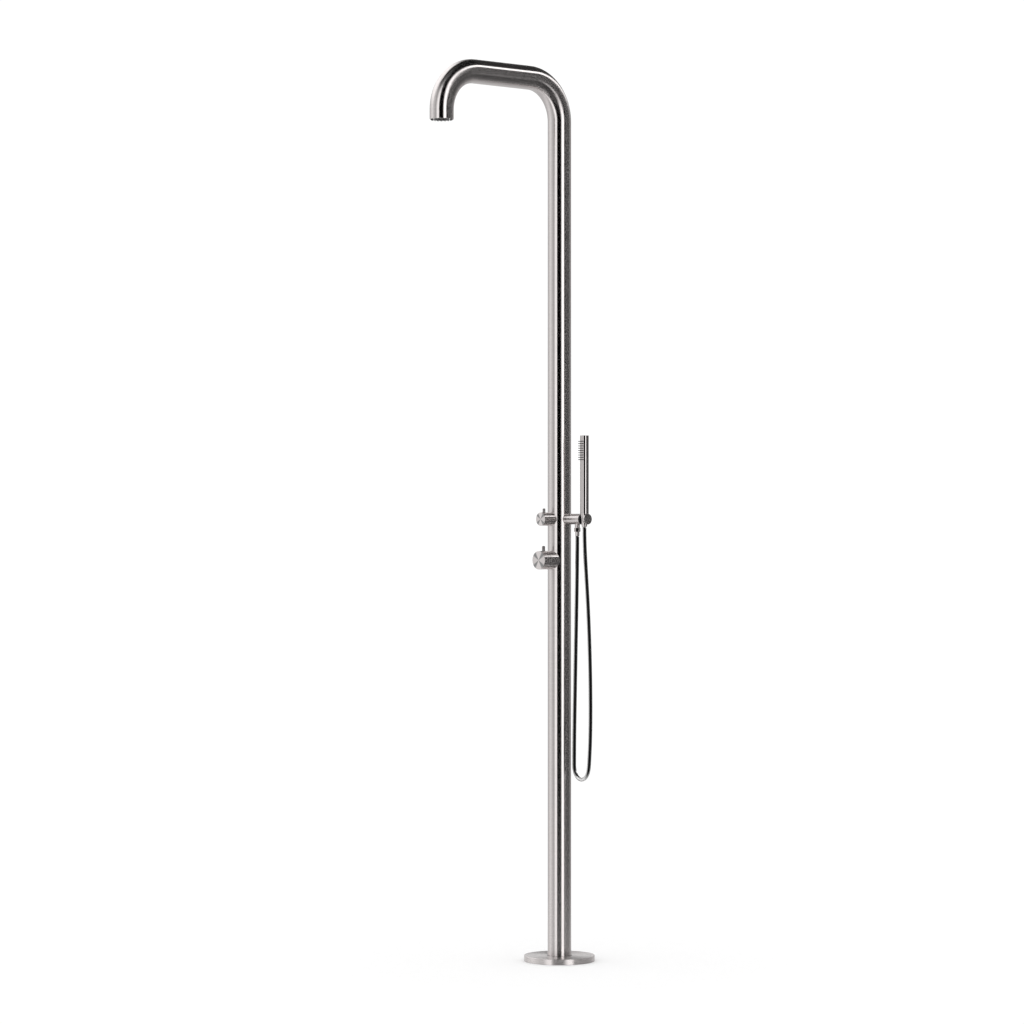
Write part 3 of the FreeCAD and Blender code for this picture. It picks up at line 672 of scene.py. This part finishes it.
# %% [markdown]
# ## Post and arm
#
# One tube of 60 mm, bent twice. Its outline runs up the outside from the foot to the open end,
# over the small rounded lip and back down the inside, so that it is as hollow as the real one.

# %% Line of the tube
post_foot = 0.005
arm_height = 2.235
arm_reach = 0.393
bend_radius = 0.104
outlet_height = 2.108
quarter = bend_radius * math.pi / 2
upright = arm_height - bend_radius - post_foot
arm = arm_reach - 2 * bend_radius
drop = arm_height - bend_radius - outlet_height
post_length = upright + quarter + arm + quarter + drop


def on_post(distance):
    """Where the tube's centre line is, this far from its foot."""
    left = distance - upright
    if left <= 0:
        y, z, angle = 0, post_foot + distance, 0
    elif left <= quarter:
        angle = left / bend_radius
        y = bend_radius * (math.cos(angle) - 1)
        z = arm_height - bend_radius + bend_radius * math.sin(angle)
    elif left <= quarter + arm:
        angle = math.pi / 2
        y, z = -bend_radius - (left - quarter), arm_height
    elif left <= 2 * quarter + arm:
        angle = (left - arm) / bend_radius
        y = -arm_reach + bend_radius * (1 + math.cos(angle))
        z = arm_height - bend_radius + bend_radius * math.sin(angle)
    else:
        angle = math.pi
        y, z = -arm_reach, arm_height - bend_radius - (left - 2 * quarter - arm)
    direction = Vector((0, -math.sin(angle), math.cos(angle)))
    side = Vector((1, 0, 0))
    return Vector((0, y, z)), side, direction.cross(side)


print("tube:", round(post_length, 3), "m long")

# %% Rings of the tube
lip = 0.0004
mixer_height = 1.018
mixer_neck = 0.0156
diverter_height = holder_height
diverter_neck = 0.0121
side_pipe = 0.0071
front = (0, -1, 0)
sideways = (1, 0, 0)
holes = [   # height, radius, and the way out of the post
    (mixer_height, mixer_neck, front),
    (diverter_height, diverter_neck, front),
    (holder_height, side_pipe, sideways),
]
ring_margin = 0.0008   # from the edge of a hole to the nearest ring
beside_holes = [height - post_foot + way * (radius + ring_margin)
                for height, radius, out in holes for way in (-1, 1)]
marks = [0, upright, upright + quarter, upright + quarter + arm, upright + 2 * quarter + arm, post_length]
counts = [16, 24, 4, 24, 2]   # more rings in the bends than in the straight runs
along_post = [a + (b - a) * k / count
              for a, b, count in zip(marks, marks[1:], counts) for k in range(count)]
ring_places = sorted({round(d, 6) for d in along_post + beside_holes if 0 < d < post_length - 2 * lip})
print("rings:", len(ring_places))

# %% Post and arm
post_radius = 0.030
post_wall = 0.002
lip_run = 0.010   # the straight wall before the lip
drill_low = 0.010
drill_high = 0.050
inner_radius = post_radius - post_wall
open_end = rounded([(post_radius, post_length - lip_run), (post_radius, post_length, lip),
                    (inner_radius, post_length, lip), (inner_radius, post_length - lip_run)])[1:-1]
outline = [(post_radius, 0), *((post_radius, d) for d in ring_places), *open_end,
           *((inner_radius, d) for d in reversed(ring_places)), (inner_radius, 0)]
post = turned("post_and_arm", on_post, outline, around=128, closed=True)
for height, radius, out in holes:
    cut(post, drill((0, 0, height), out, radius, drill_low, drill_high))
stand_for(post, "column_tube", material=brushed_steel)

# %% [markdown]
# ## The floor cover
#
# A spun and turned cap: flat on top, upright at the rim, and rounded where the two meet so that the
# rim catches a line of light. Its short collar hugs the black seal ring round the post.

# %% Floor cover
cover_radius = 0.090
cover_height = 0.014
cover_wall = 0.002
cover_hole = 0.0317
collar_height = 0.004
rim_round = 0.0010
collar_round = 0.0002
on_cover = straight((0, 0, 0), (0, 0, 1))
outline = rounded([
    (cover_radius, 0),
    (cover_radius, cover_height, rim_round),
    (cover_hole, cover_height, collar_round),
    (cover_hole, cover_height - collar_height),
    (cover_hole + cover_wall, cover_height - collar_height),
    (cover_hole + cover_wall, cover_height - cover_wall),
    (cover_radius - cover_wall, cover_height - cover_wall),
    (cover_radius - cover_wall, 0),
])
cover = turned("floor_cover", on_cover, outline, around=192, closed=True)
stand_for(cover, "base_cover", material=cover_steel)

# %% [markdown]
# ## Knobs, sleeves and pins
#
# Each knob is a cup with a boss for its stem, open at the back, and its front edge is rounded. A
# sleeve of the same diameter stands on the post behind it. A real sleeve's foot is cut to the
# round of the post, so the last ring of the sleeve's outline is let down onto the tube.

# %% Knobs
upward = (0, 0, 1)
downward = (0, 0, -1)
knob_back = 0.0480
knob_hollow = 0.0085
knob_floor = 0.0030
edge_round = 0.0006
seam_round = 0.0003
pin_seat = 0.0010
play = 0.0001
grub_radius = 0.00255
valves = {
    "mixer": dict(height=mixer_height, radius=0.0235, wall=0.0065, face=0.0714, stem=0.0040,
                  pin=0.0040, pin_reach=0.0545, pin_height=0.0125, neck=mixer_neck),
    "diverter": dict(height=diverter_height, radius=0.0170, wall=0.0050, face=0.0650, stem=0.0035,
                     pin=0.0035, pin_reach=0.0530, pin_height=0.0100, neck=diverter_neck),
}


def make_knob(name, size):
    radius, face = size["radius"], size["face"]
    inner, bore = radius - size["wall"], size["stem"] + play / 2
    boss = size["stem"] + size["wall"]
    outline = rounded([
        (0, face - knob_floor),
        (bore, face - knob_floor),
        (bore, knob_back),
        (boss, knob_back),
        (boss, knob_back + knob_hollow),
        (inner, knob_back + knob_hollow),
        (inner, knob_back, seam_round),
        (radius, knob_back, seam_round),
        (radius, face, edge_round),
        (0, face),
    ])
    knob = turned(f"{name}_knob_turned", straight((0, 0, size["height"]), front), outline, around=128)
    pin_at = (0, -size["pin_reach"], size["height"])
    cut(knob, drill(pin_at, upward, size["pin"] + play, radius - pin_seat, radius + pin_seat))
    cut(knob, drill(pin_at, upward, size["pin"] / 2 + play, inner, radius))
    grub_at = (0, -(knob_back + knob_hollow + face) / 2, size["height"])
    cut(knob, drill(grub_at, downward, grub_radius, 0, radius + pin_seat))
    return knob


for name, size in valves.items():
    stand_for(make_knob(name, size), f"{name}_knob", material=knob_steel)

# %% Sleeves and pins
sleeve_reach = 0.0472
sleeve_wall = 0.0020
web_start = 0.0385
web_end = 0.0415


def make_sleeve(name, size):
    outer, inner = size["radius"], size["radius"] - sleeve_wall
    outline = rounded([
        (outer, 0),
        (outer, sleeve_reach, seam_round),
        (inner, sleeve_reach, seam_round),
        (inner, web_end),
        (size["neck"], web_end),
        (size["neck"], web_start),
        (inner, web_start),
        (inner, 0),
    ])
    sleeve = turned(f"{name}_sleeve_turned", straight((0, 0, size["height"]), front), outline,
                    around=128, closed=True)
    for vertex in sleeve.data.vertices:
        if abs(vertex.co.y) < play:
            vertex.co.y = -math.sqrt(post_radius ** 2 - vertex.co.x ** 2)
    return sleeve


def make_pin(name, size):
    spigot = size["wall"] - pin_seat - play
    tip = pin_seat + size["pin_height"]
    foot = (0, -size["pin_reach"], size["height"] + size["radius"] - pin_seat)
    outline = rounded([
        (0, -spigot),
        (size["pin"] / 2, -spigot),
        (size["pin"] / 2, 0),
        (size["pin"], 0),
        (size["pin"], tip, size["pin"] / 2),
        (0, tip),
    ])
    return turned(f"{name}_pin_turned", straight(foot, upward), outline, around=48)


for name, size in valves.items():
    stand_for(make_sleeve(name, size), f"{name}_sleeve", material=turned_steel)
    stand_for(make_pin(name, size), f"{name}_pin", material=pin_steel_painted_shade)

# %% [markdown]
# ## Fittings of the hose
#
# A hexagon nut is a turned blank with six flats milled on it, so the flats meet a turned chamfer in
# the curved line that every nut shows. The same tool makes it: each ring takes the smaller one of
# the turned radius and the hexagon's own radius in that direction.

# %% Hexagon nut
outlet_reach = 0.067
nut_base = 1.090
nut_height = 0.010
nut_floor = 0.0025
nut_bore = 0.0046
nut_thread = 0.0057
nut_face = 0.0072
nut_corner = 0.0080
nut_chamfer = 0.0006
flats = 0.014
nut_turn = math.radians(-12.4)


def hexagon(radius, angle):
    """The smaller one of the turned radius and the hexagon's own in this direction."""
    to_flat = ((angle - nut_turn) % (math.pi / 3)) - math.pi / 6
    return min(radius, flats / 2 / math.cos(to_flat))


outline = rounded([
    (nut_bore, 0),
    (nut_face, 0),
    (nut_corner, nut_chamfer),
    (nut_corner, nut_height - nut_chamfer),
    (nut_face, nut_height),
    (nut_thread, nut_height),
    (nut_thread, nut_floor),
    (nut_bore, nut_floor),
])
hex_nut = turned("hexagon_nut", straight((outlet_reach, 0, nut_base), upward), outline, around=96,
                 closed=True, section=hexagon)
stand_for(hex_nut, "hose_nut", material=turned_steel)

# %% Ferrule
ferrule_base = 1.080
ferrule_length = 0.010
ferrule_collar = 0.0020
ferrule_bore = 0.0032
ferrule_radius = 0.0054
ferrule_neck = 0.0045
mouth_round = 0.0005
shoulder_round = 0.0004
neck_top = ferrule_length + nut_floor
outline = rounded([
    (ferrule_bore, 0),
    (ferrule_radius, 0, mouth_round),
    (ferrule_radius, ferrule_length, shoulder_round),
    (ferrule_neck, ferrule_length),
    (ferrule_neck, neck_top),
    (ferrule_radius, neck_top),
    (ferrule_radius, neck_top + ferrule_collar),
    (ferrule_bore, neck_top + ferrule_collar),
])
ferrule = turned("crimped_ferrule", straight((outlet_reach, 0, ferrule_base), upward), outline,
                 around=64, closed=True)
stand_for(ferrule, "hose_ferrule", material=turned_steel)

# %% Cone nut
cradle_reach = 0.0935
cone_base = 1.103
cone_height = 0.034
cone_bore = 0.0045
cone_narrow = 0.0065
cone_wide = 0.0110
chamber_radius = 0.0058
chamber_start = 0.0118
thread_radius = 0.0069
thread_start = 0.0184
outline = rounded([
    (cone_bore, 0),
    (cone_narrow, 0, shoulder_round),
    (cone_wide, cone_height, seam_round),
    (thread_radius, cone_height),
    (thread_radius, thread_start),
    (chamber_radius, thread_start),
    (chamber_radius, chamber_start),
    (cone_bore, chamber_start),
])
cone = turned("cone_nut_turned", straight((cradle_reach, 0, cone_base), upward), outline,
              around=96, closed=True)
stand_for(cone, "cone_nut", material=turned_steel)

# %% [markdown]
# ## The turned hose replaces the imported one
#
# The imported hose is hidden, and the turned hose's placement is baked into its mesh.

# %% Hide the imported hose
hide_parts("shower_hose")
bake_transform(hose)

# %% [markdown]
# ## Nozzles
#
# Both sprays have soft nozzles that are rubbed clean with a thumb. They come through holes in the
# metal from a mat behind it, taper to a rounded tip, and each one has its own hole.

# %% Nozzles in the arm's end
tip_round = 0.0004
tip_height = 2.1054
mat_bottom = 2.1106
mat_top = 2.1122
mat_radius = 0.0279
nozzle_pitch = 0.0085
nozzle_rings = 3


def make_nozzle(bm, start, direction, low, high, foot, tip, hole, around=20):
    """A nozzle from low to high along a direction; foot, tip and hole are its radii."""
    outline = rounded([(hole, low), (foot, low), (tip, high, tip_round), (hole, high)], steps=3)
    turn_into(bm, straight(start, direction), outline, around=around, closed=True)


head_places = [(0, 0)]
for ring_number in range(1, nozzle_rings + 1):
    in_ring = 6 * ring_number
    for i in range(in_ring):
        angle = 2 * math.pi * i / in_ring
        head_places.append((ring_number * nozzle_pitch * math.cos(angle),
                            ring_number * nozzle_pitch * math.sin(angle)))
bm = bmesh.new()
for x, y in head_places:
    make_nozzle(bm, (x, y - arm_reach, mat_bottom), downward, 0, mat_bottom - tip_height,
                foot=0.0016, tip=0.0011, hole=0.00055)
turn_into(bm, straight((0, -arm_reach, 0), upward),
          [(0, mat_bottom), (mat_radius, mat_bottom), (mat_radius, mat_top), (0, mat_top)], around=96)
head_spray = add_object("head_spray_mat", bm)
print("nozzles in the arm's end:", len(head_places))

# %% Nozzles of the stick
spray_top = 1.318
spray_rows = 9
spray_columns = 3
row_pitch = 0.00575
column_pitch = 0.0050
strip_outer = 0.0094
strip_inner = 0.0082
strip_half = 0.0072
strip_margin = 0.0050
nozzle_reach = 0.0165
nozzle_sink = 0.0006   # how deep a nozzle stands in the strip
row_heights = [spray_top - row * row_pitch for row in range(spray_rows)]
spray_places = [((column - 1) * column_pitch, height)
                for height in row_heights for column in range(spray_columns)]


def bent_strip(bm, centre, inner, outer, half_width, low, high, steps=16):
    """A strip bent round an upright axis and facing the front."""
    turn = turn_map(bm)
    wide = math.asin(half_width / outer)
    rings = []
    for i in range(steps + 1):
        angle = -wide + 2 * wide * i / steps
        toward = Vector((math.sin(angle), -math.cos(angle), 0))
        rings.append([bm.verts.new(Vector(centre) + toward * radius + Vector((0, 0, z)))
                      for radius, z in ((inner, low), (outer, low), (outer, high), (inner, high))])
    faces = [bm.faces.new(rings[0]), bm.faces.new(rings[-1][::-1])]
    for a, b in zip(rings, rings[1:]):
        for k in range(4):
            faces.append(bm.faces.new((a[k], b[k], b[(k + 1) % 4], a[(k + 1) % 4])))
    for face in faces:
        for loop in face.loops:
            loop[turn].uv = (loop.vert.co.z, 0.5)


bm = bmesh.new()
for beside, height in spray_places:
    root = math.sqrt(strip_outer ** 2 - beside ** 2) - nozzle_sink
    make_nozzle(bm, (cradle_reach + beside, 0, height), front, root, nozzle_reach,
                foot=0.0011, tip=0.0009, hole=0.0004, around=16)
bent_strip(bm, (cradle_reach, 0, 0), strip_inner, strip_outer, strip_half,
           row_heights[-1] - strip_margin, spray_top + strip_margin)
stick_spray = add_object("stick_spray_nozzles", bm)
print("nozzles of the stick:", len(spray_places))

# %% [markdown]
# ## The stick of the hand shower
#
# A length of thin tube with a turned end cap. Its 27 holes are drilled in one go, by one cutter that
# holds all the drills. Rings of the outline stand between the rows of holes, so that each hole
# disturbs only the short stretch of wall around it and the reflections stay straight.

# %% Stick
stick_foot = 1.137
stick_top = 1.333
stick_radius = 0.0110
stick_bore = 0.0095
end_wall = 0.0020
hole_radius = 0.0012
row_margin = 0.0004
drill_low = 0.004
drill_high = 0.014
beside_rows = sorted(height - stick_foot + way * (hole_radius + row_margin)
                     for height in row_heights for way in (-1, 1))
stick_length = stick_top - stick_foot
outline = rounded([
    (0, stick_length - end_wall),
    (stick_bore, stick_length - end_wall),
    *((stick_bore, d) for d in reversed(beside_rows)),
    (stick_bore, 0),
    (stick_radius, 0, seam_round),
    *((stick_radius, d) for d in beside_rows),
    (stick_radius, stick_length, edge_round),
    (0, stick_length),
])
stick = turned("stick_tube", straight((cradle_reach, 0, stick_foot), upward), outline, around=120)
drill_outline = [(0, drill_low), (hole_radius, drill_low), (hole_radius, drill_high), (0, drill_high)]
bm = bmesh.new()
for beside, height in spray_places:
    turn_into(bm, straight((cradle_reach + beside, 0, height), front), drill_outline, around=20)
cut(stick, add_object("drills", bm))
stand_for(stick, "stick_body", material=bright_steel)
stand_for(head_spray, "head_nozzles", material=finish["dark_silicone"])
stand_for(stick_spray, "stick_nozzles", material=finish["dark_silicone"])

# %% [markdown]
# ## The studio
#
# Smooth steel shows the room round it and little else, so the room is what has to be drawn. Two
# numbers say where a mirrored ray goes: its azimuth, with 0 back to the camera and plus to the
# right of it, and its elevation. A third one, `tilted`, is the ray's height above a plane that leans
# to the right, and is what a long lamp lying beside the arm needs to stay straight.

# %% Studio: directions
studio = bpy.data.worlds.new("studio")
studio.use_nodes = True
studio.cycles.sampling_method = "NONE"
bpy.context.scene.world = studio
sky = studio.node_tree
sky.nodes.clear()
looking = add(sky, "TexCoord").outputs["Generated"]


def ahead_of(direction):
    """How far the ray goes towards a direction, from -1 to 1."""
    return add(sky, "VectorMath", {0: looking, 1: direction}, operation="DOT_PRODUCT").outputs["Value"]


lamp_tilt = math.radians(20.8)
to_camera = ahead_of((math.sin(camera_azimuth), -math.cos(camera_azimuth), 0))
to_right = ahead_of((math.cos(camera_azimuth), math.sin(camera_azimuth), 0))
tilted = ahead_of((-math.sin(lamp_tilt), 0, math.cos(lamp_tilt)))
azimuth = math_node(sky, "DEGREES", math_node(sky, "ARCTAN2", to_right, to_camera))
elevation = math_node(sky, "DEGREES", math_node(sky, "ARCSINE", ahead_of((0, 0, 1))))
print("lamp leans", round(math.degrees(lamp_tilt), 1), "degrees")

# %% [markdown]
# ## Walls
#
# On the upright post each azimuth of the room becomes one upright stripe. A colour ramp goes once
# round the horizon, and each of its stops is set to the light that steel shows as the wanted grey:
# pale walls at the left, a dark opening behind the camera, a bright doorway right beside it and a
# dark wall further to the right.

# %% Studio: walls
def shown_as(display):
    """The light that steel reflects as this grey on the screen, from 0 to 1."""
    linear = ((display + 0.055) / 1.055) ** 2.4 if display > 0.04 else display / 12.92
    return linear / steel_grey[1]


stops = [
    (-180, 0.70), (-137, 0.64), (-122, 0.73), (-95, 0.80), (-78, 0.70),   # pale walls at the left
    (-57, 0.60), (-46, 0.80), (-38, 0.95), (-28, 0.98),
    (-21, 0.01), (16, 0.01),                                              # behind the camera
    (22.5, 0.95), (27, 1.10), (43, 1.10),                                 # the bright doorway
    (49, 0.03), (61, 0.03), (71, 0.27), (105, 0.26), (125, 0.42), (180, 0.70),   # the dark wall
]
walls = add(sky, "ValToRGB", {0: math_node(sky, "DIVIDE", math_node(sky, "ADD", azimuth, 180.0), 360.0)})
ramp = walls.color_ramp
ramp.elements.remove(ramp.elements[1])
for i, (degrees, display) in enumerate(stops):
    place = (degrees + 180) / 360
    element = ramp.elements.new(place) if i else ramp.elements[0]
    element.position = place
    element.color = (*[shown_as(display)] * 3, 1)
print("ramp stops:", len(ramp.elements))

# %% [markdown]
# ## Lamps and dark areas
#
# The bends and the level pieces mirror the room above and below the horizon as well. So some areas
# are laid over the walls: a dark ceiling, a long lamp beside the arm with black above it, and a
# few smaller ones that only the bends, the holder and the knobs can see.

# %% Studio: lamps and dark areas
def band(value, low, high, soft):
    """1 where value is between low and high, fading over soft."""
    rise = add(sky, "MapRange", {"Value": value, "From Min": low - soft, "From Max": low})
    fall = add(sky, "MapRange", {"Value": value, "From Min": high + soft, "From Max": high})
    return math_node(sky, "MULTIPLY", rise.outputs[0], fall.outputs[0])


def window(around, above, soft=4):
    """A mask between two azimuths and two elevations, in degrees."""
    return math_node(sky, "MULTIPLY", band(azimuth, *around, soft), band(elevation, *above, soft))


def lying(around, above, soft):
    """A mask between two azimuths and two heights above the tilted plane."""
    return math_node(sky, "MULTIPLY", band(azimuth, *around, 5), band(tilted, *above, soft))


areas = [  # the light of each area and its mask; a later one lies over the earlier ones
    (0.03, band(elevation, 48, 95, 5)),             # the ceiling
    (0.004, lying((5, 180), (0.50, 2.0), 0.03)),    # black above the long lamp
    (0.075, window((108, 190), (21, 47))),          # dark grey over the arm,
    (0.075, window((-190, -172), (21, 47))),        # and the rest of it beyond 180 degrees
    (0.100, window((10, 50), (-75, -18))),          # under the doorway
    (1.3, window((58, 66), (-26, -15), 3)),         # a thin line in the rear bend
    (2.0, lying((38, 140), (0.29, 0.46), 0.025)),   # the long lamp
    (1.5, window((-165, -98), (20, 62), 7)),        # over the holder
]
room = walls.outputs["Color"]
for light, mask in areas:
    room = blend_colours(sky, mask, room, (light, light, light, 1))
print("areas laid over the walls:", len(areas))

# %% [markdown]
# ## Who sees the room
#
# Only mirrored rays see the drawn room. The camera and the matt surfaces see one even, pale light,
# which keeps the background plain and the shadows soft.

# %% Studio: plain light
plain_light = 1.05
reflected = add(sky, "Background", {"Color": room})
plain = add(sky, "Background", {"Color": (plain_light, plain_light, plain_light, 1)})
path = add(sky, "LightPath")
direct = math_node(sky, "MAXIMUM", path.outputs["Is Camera Ray"], path.outputs["Is Diffuse Ray"])
both = add(sky, "MixShader", {0: direct, 1: reflected.outputs[0], 2: plain.outputs[0]})
add(sky, "OutputWorld", {0: both.outputs[0]})
bpy.context.scene.view_settings.view_transform = "Standard"
print("plain light:", plain_light)

# %% [markdown]
# ## The floor
#
# A pale disc takes the soft shadow of the cover. It fades out towards its edge, so that no horizon
# shows, and mirrored rays see it faintly, because full white would wash out the foot of the post.

# %% Floor
floor_radius = 1.2
faded_from = 0.5
faded_to = 1.15
floor_colour = (0.97, 0.97, 0.97, 1)
lost_in_steel = 0.70   # how much of the floor mirrored rays miss
floor_drop = 0.0005    # keeps the disc clear of the cover's rim
bm = bmesh.new()
bmesh.ops.create_circle(bm, cap_ends=True, segments=96, radius=floor_radius)
floor = add_object("floor", bm)
pale_floor, tree, shader = new_material("pale_floor")
spot = add(tree, "TexCoord")
away = add(tree, "VectorMath", {0: spot.outputs["Object"]}, operation="LENGTH").outputs["Value"]
fade = add(tree, "MapRange", {"Value": away, "From Min": faded_from, "From Max": faded_to})
pale = add(tree, "BsdfDiffuse", {"Color": floor_colour})
clear = add(tree, "BsdfTransparent")
mirrored = add(tree, "LightPath").outputs["Is Glossy Ray"]
missed = math_node(tree, "MULTIPLY", mirrored, lost_in_steel)
gone = math_node(tree, "MAXIMUM", fade.outputs[0], missed)
mixed = add(tree, "MixShader", {0: gone, 1: pale.outputs[0], 2: clear.outputs[0]})
tree.links.new(mixed.outputs[0], tree.nodes["Material Output"].inputs["Surface"])
floor.data.materials.append(pale_floor)
floor.location.z = -floor_drop
floor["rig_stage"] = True
print("floor radius:", floor_radius, "m")

# %% [markdown]
# ## Measure and finish
#
# The finer meshes must fill the same box as the construction they stand in for, so both boxes are printed.

# %% Measure and finish
visual_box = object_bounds()
for label, box in (("construction", cad_box), ("visible", visual_box)):
    print(label, "box:", [[round(v, 4) for v in corner] for corner in box])
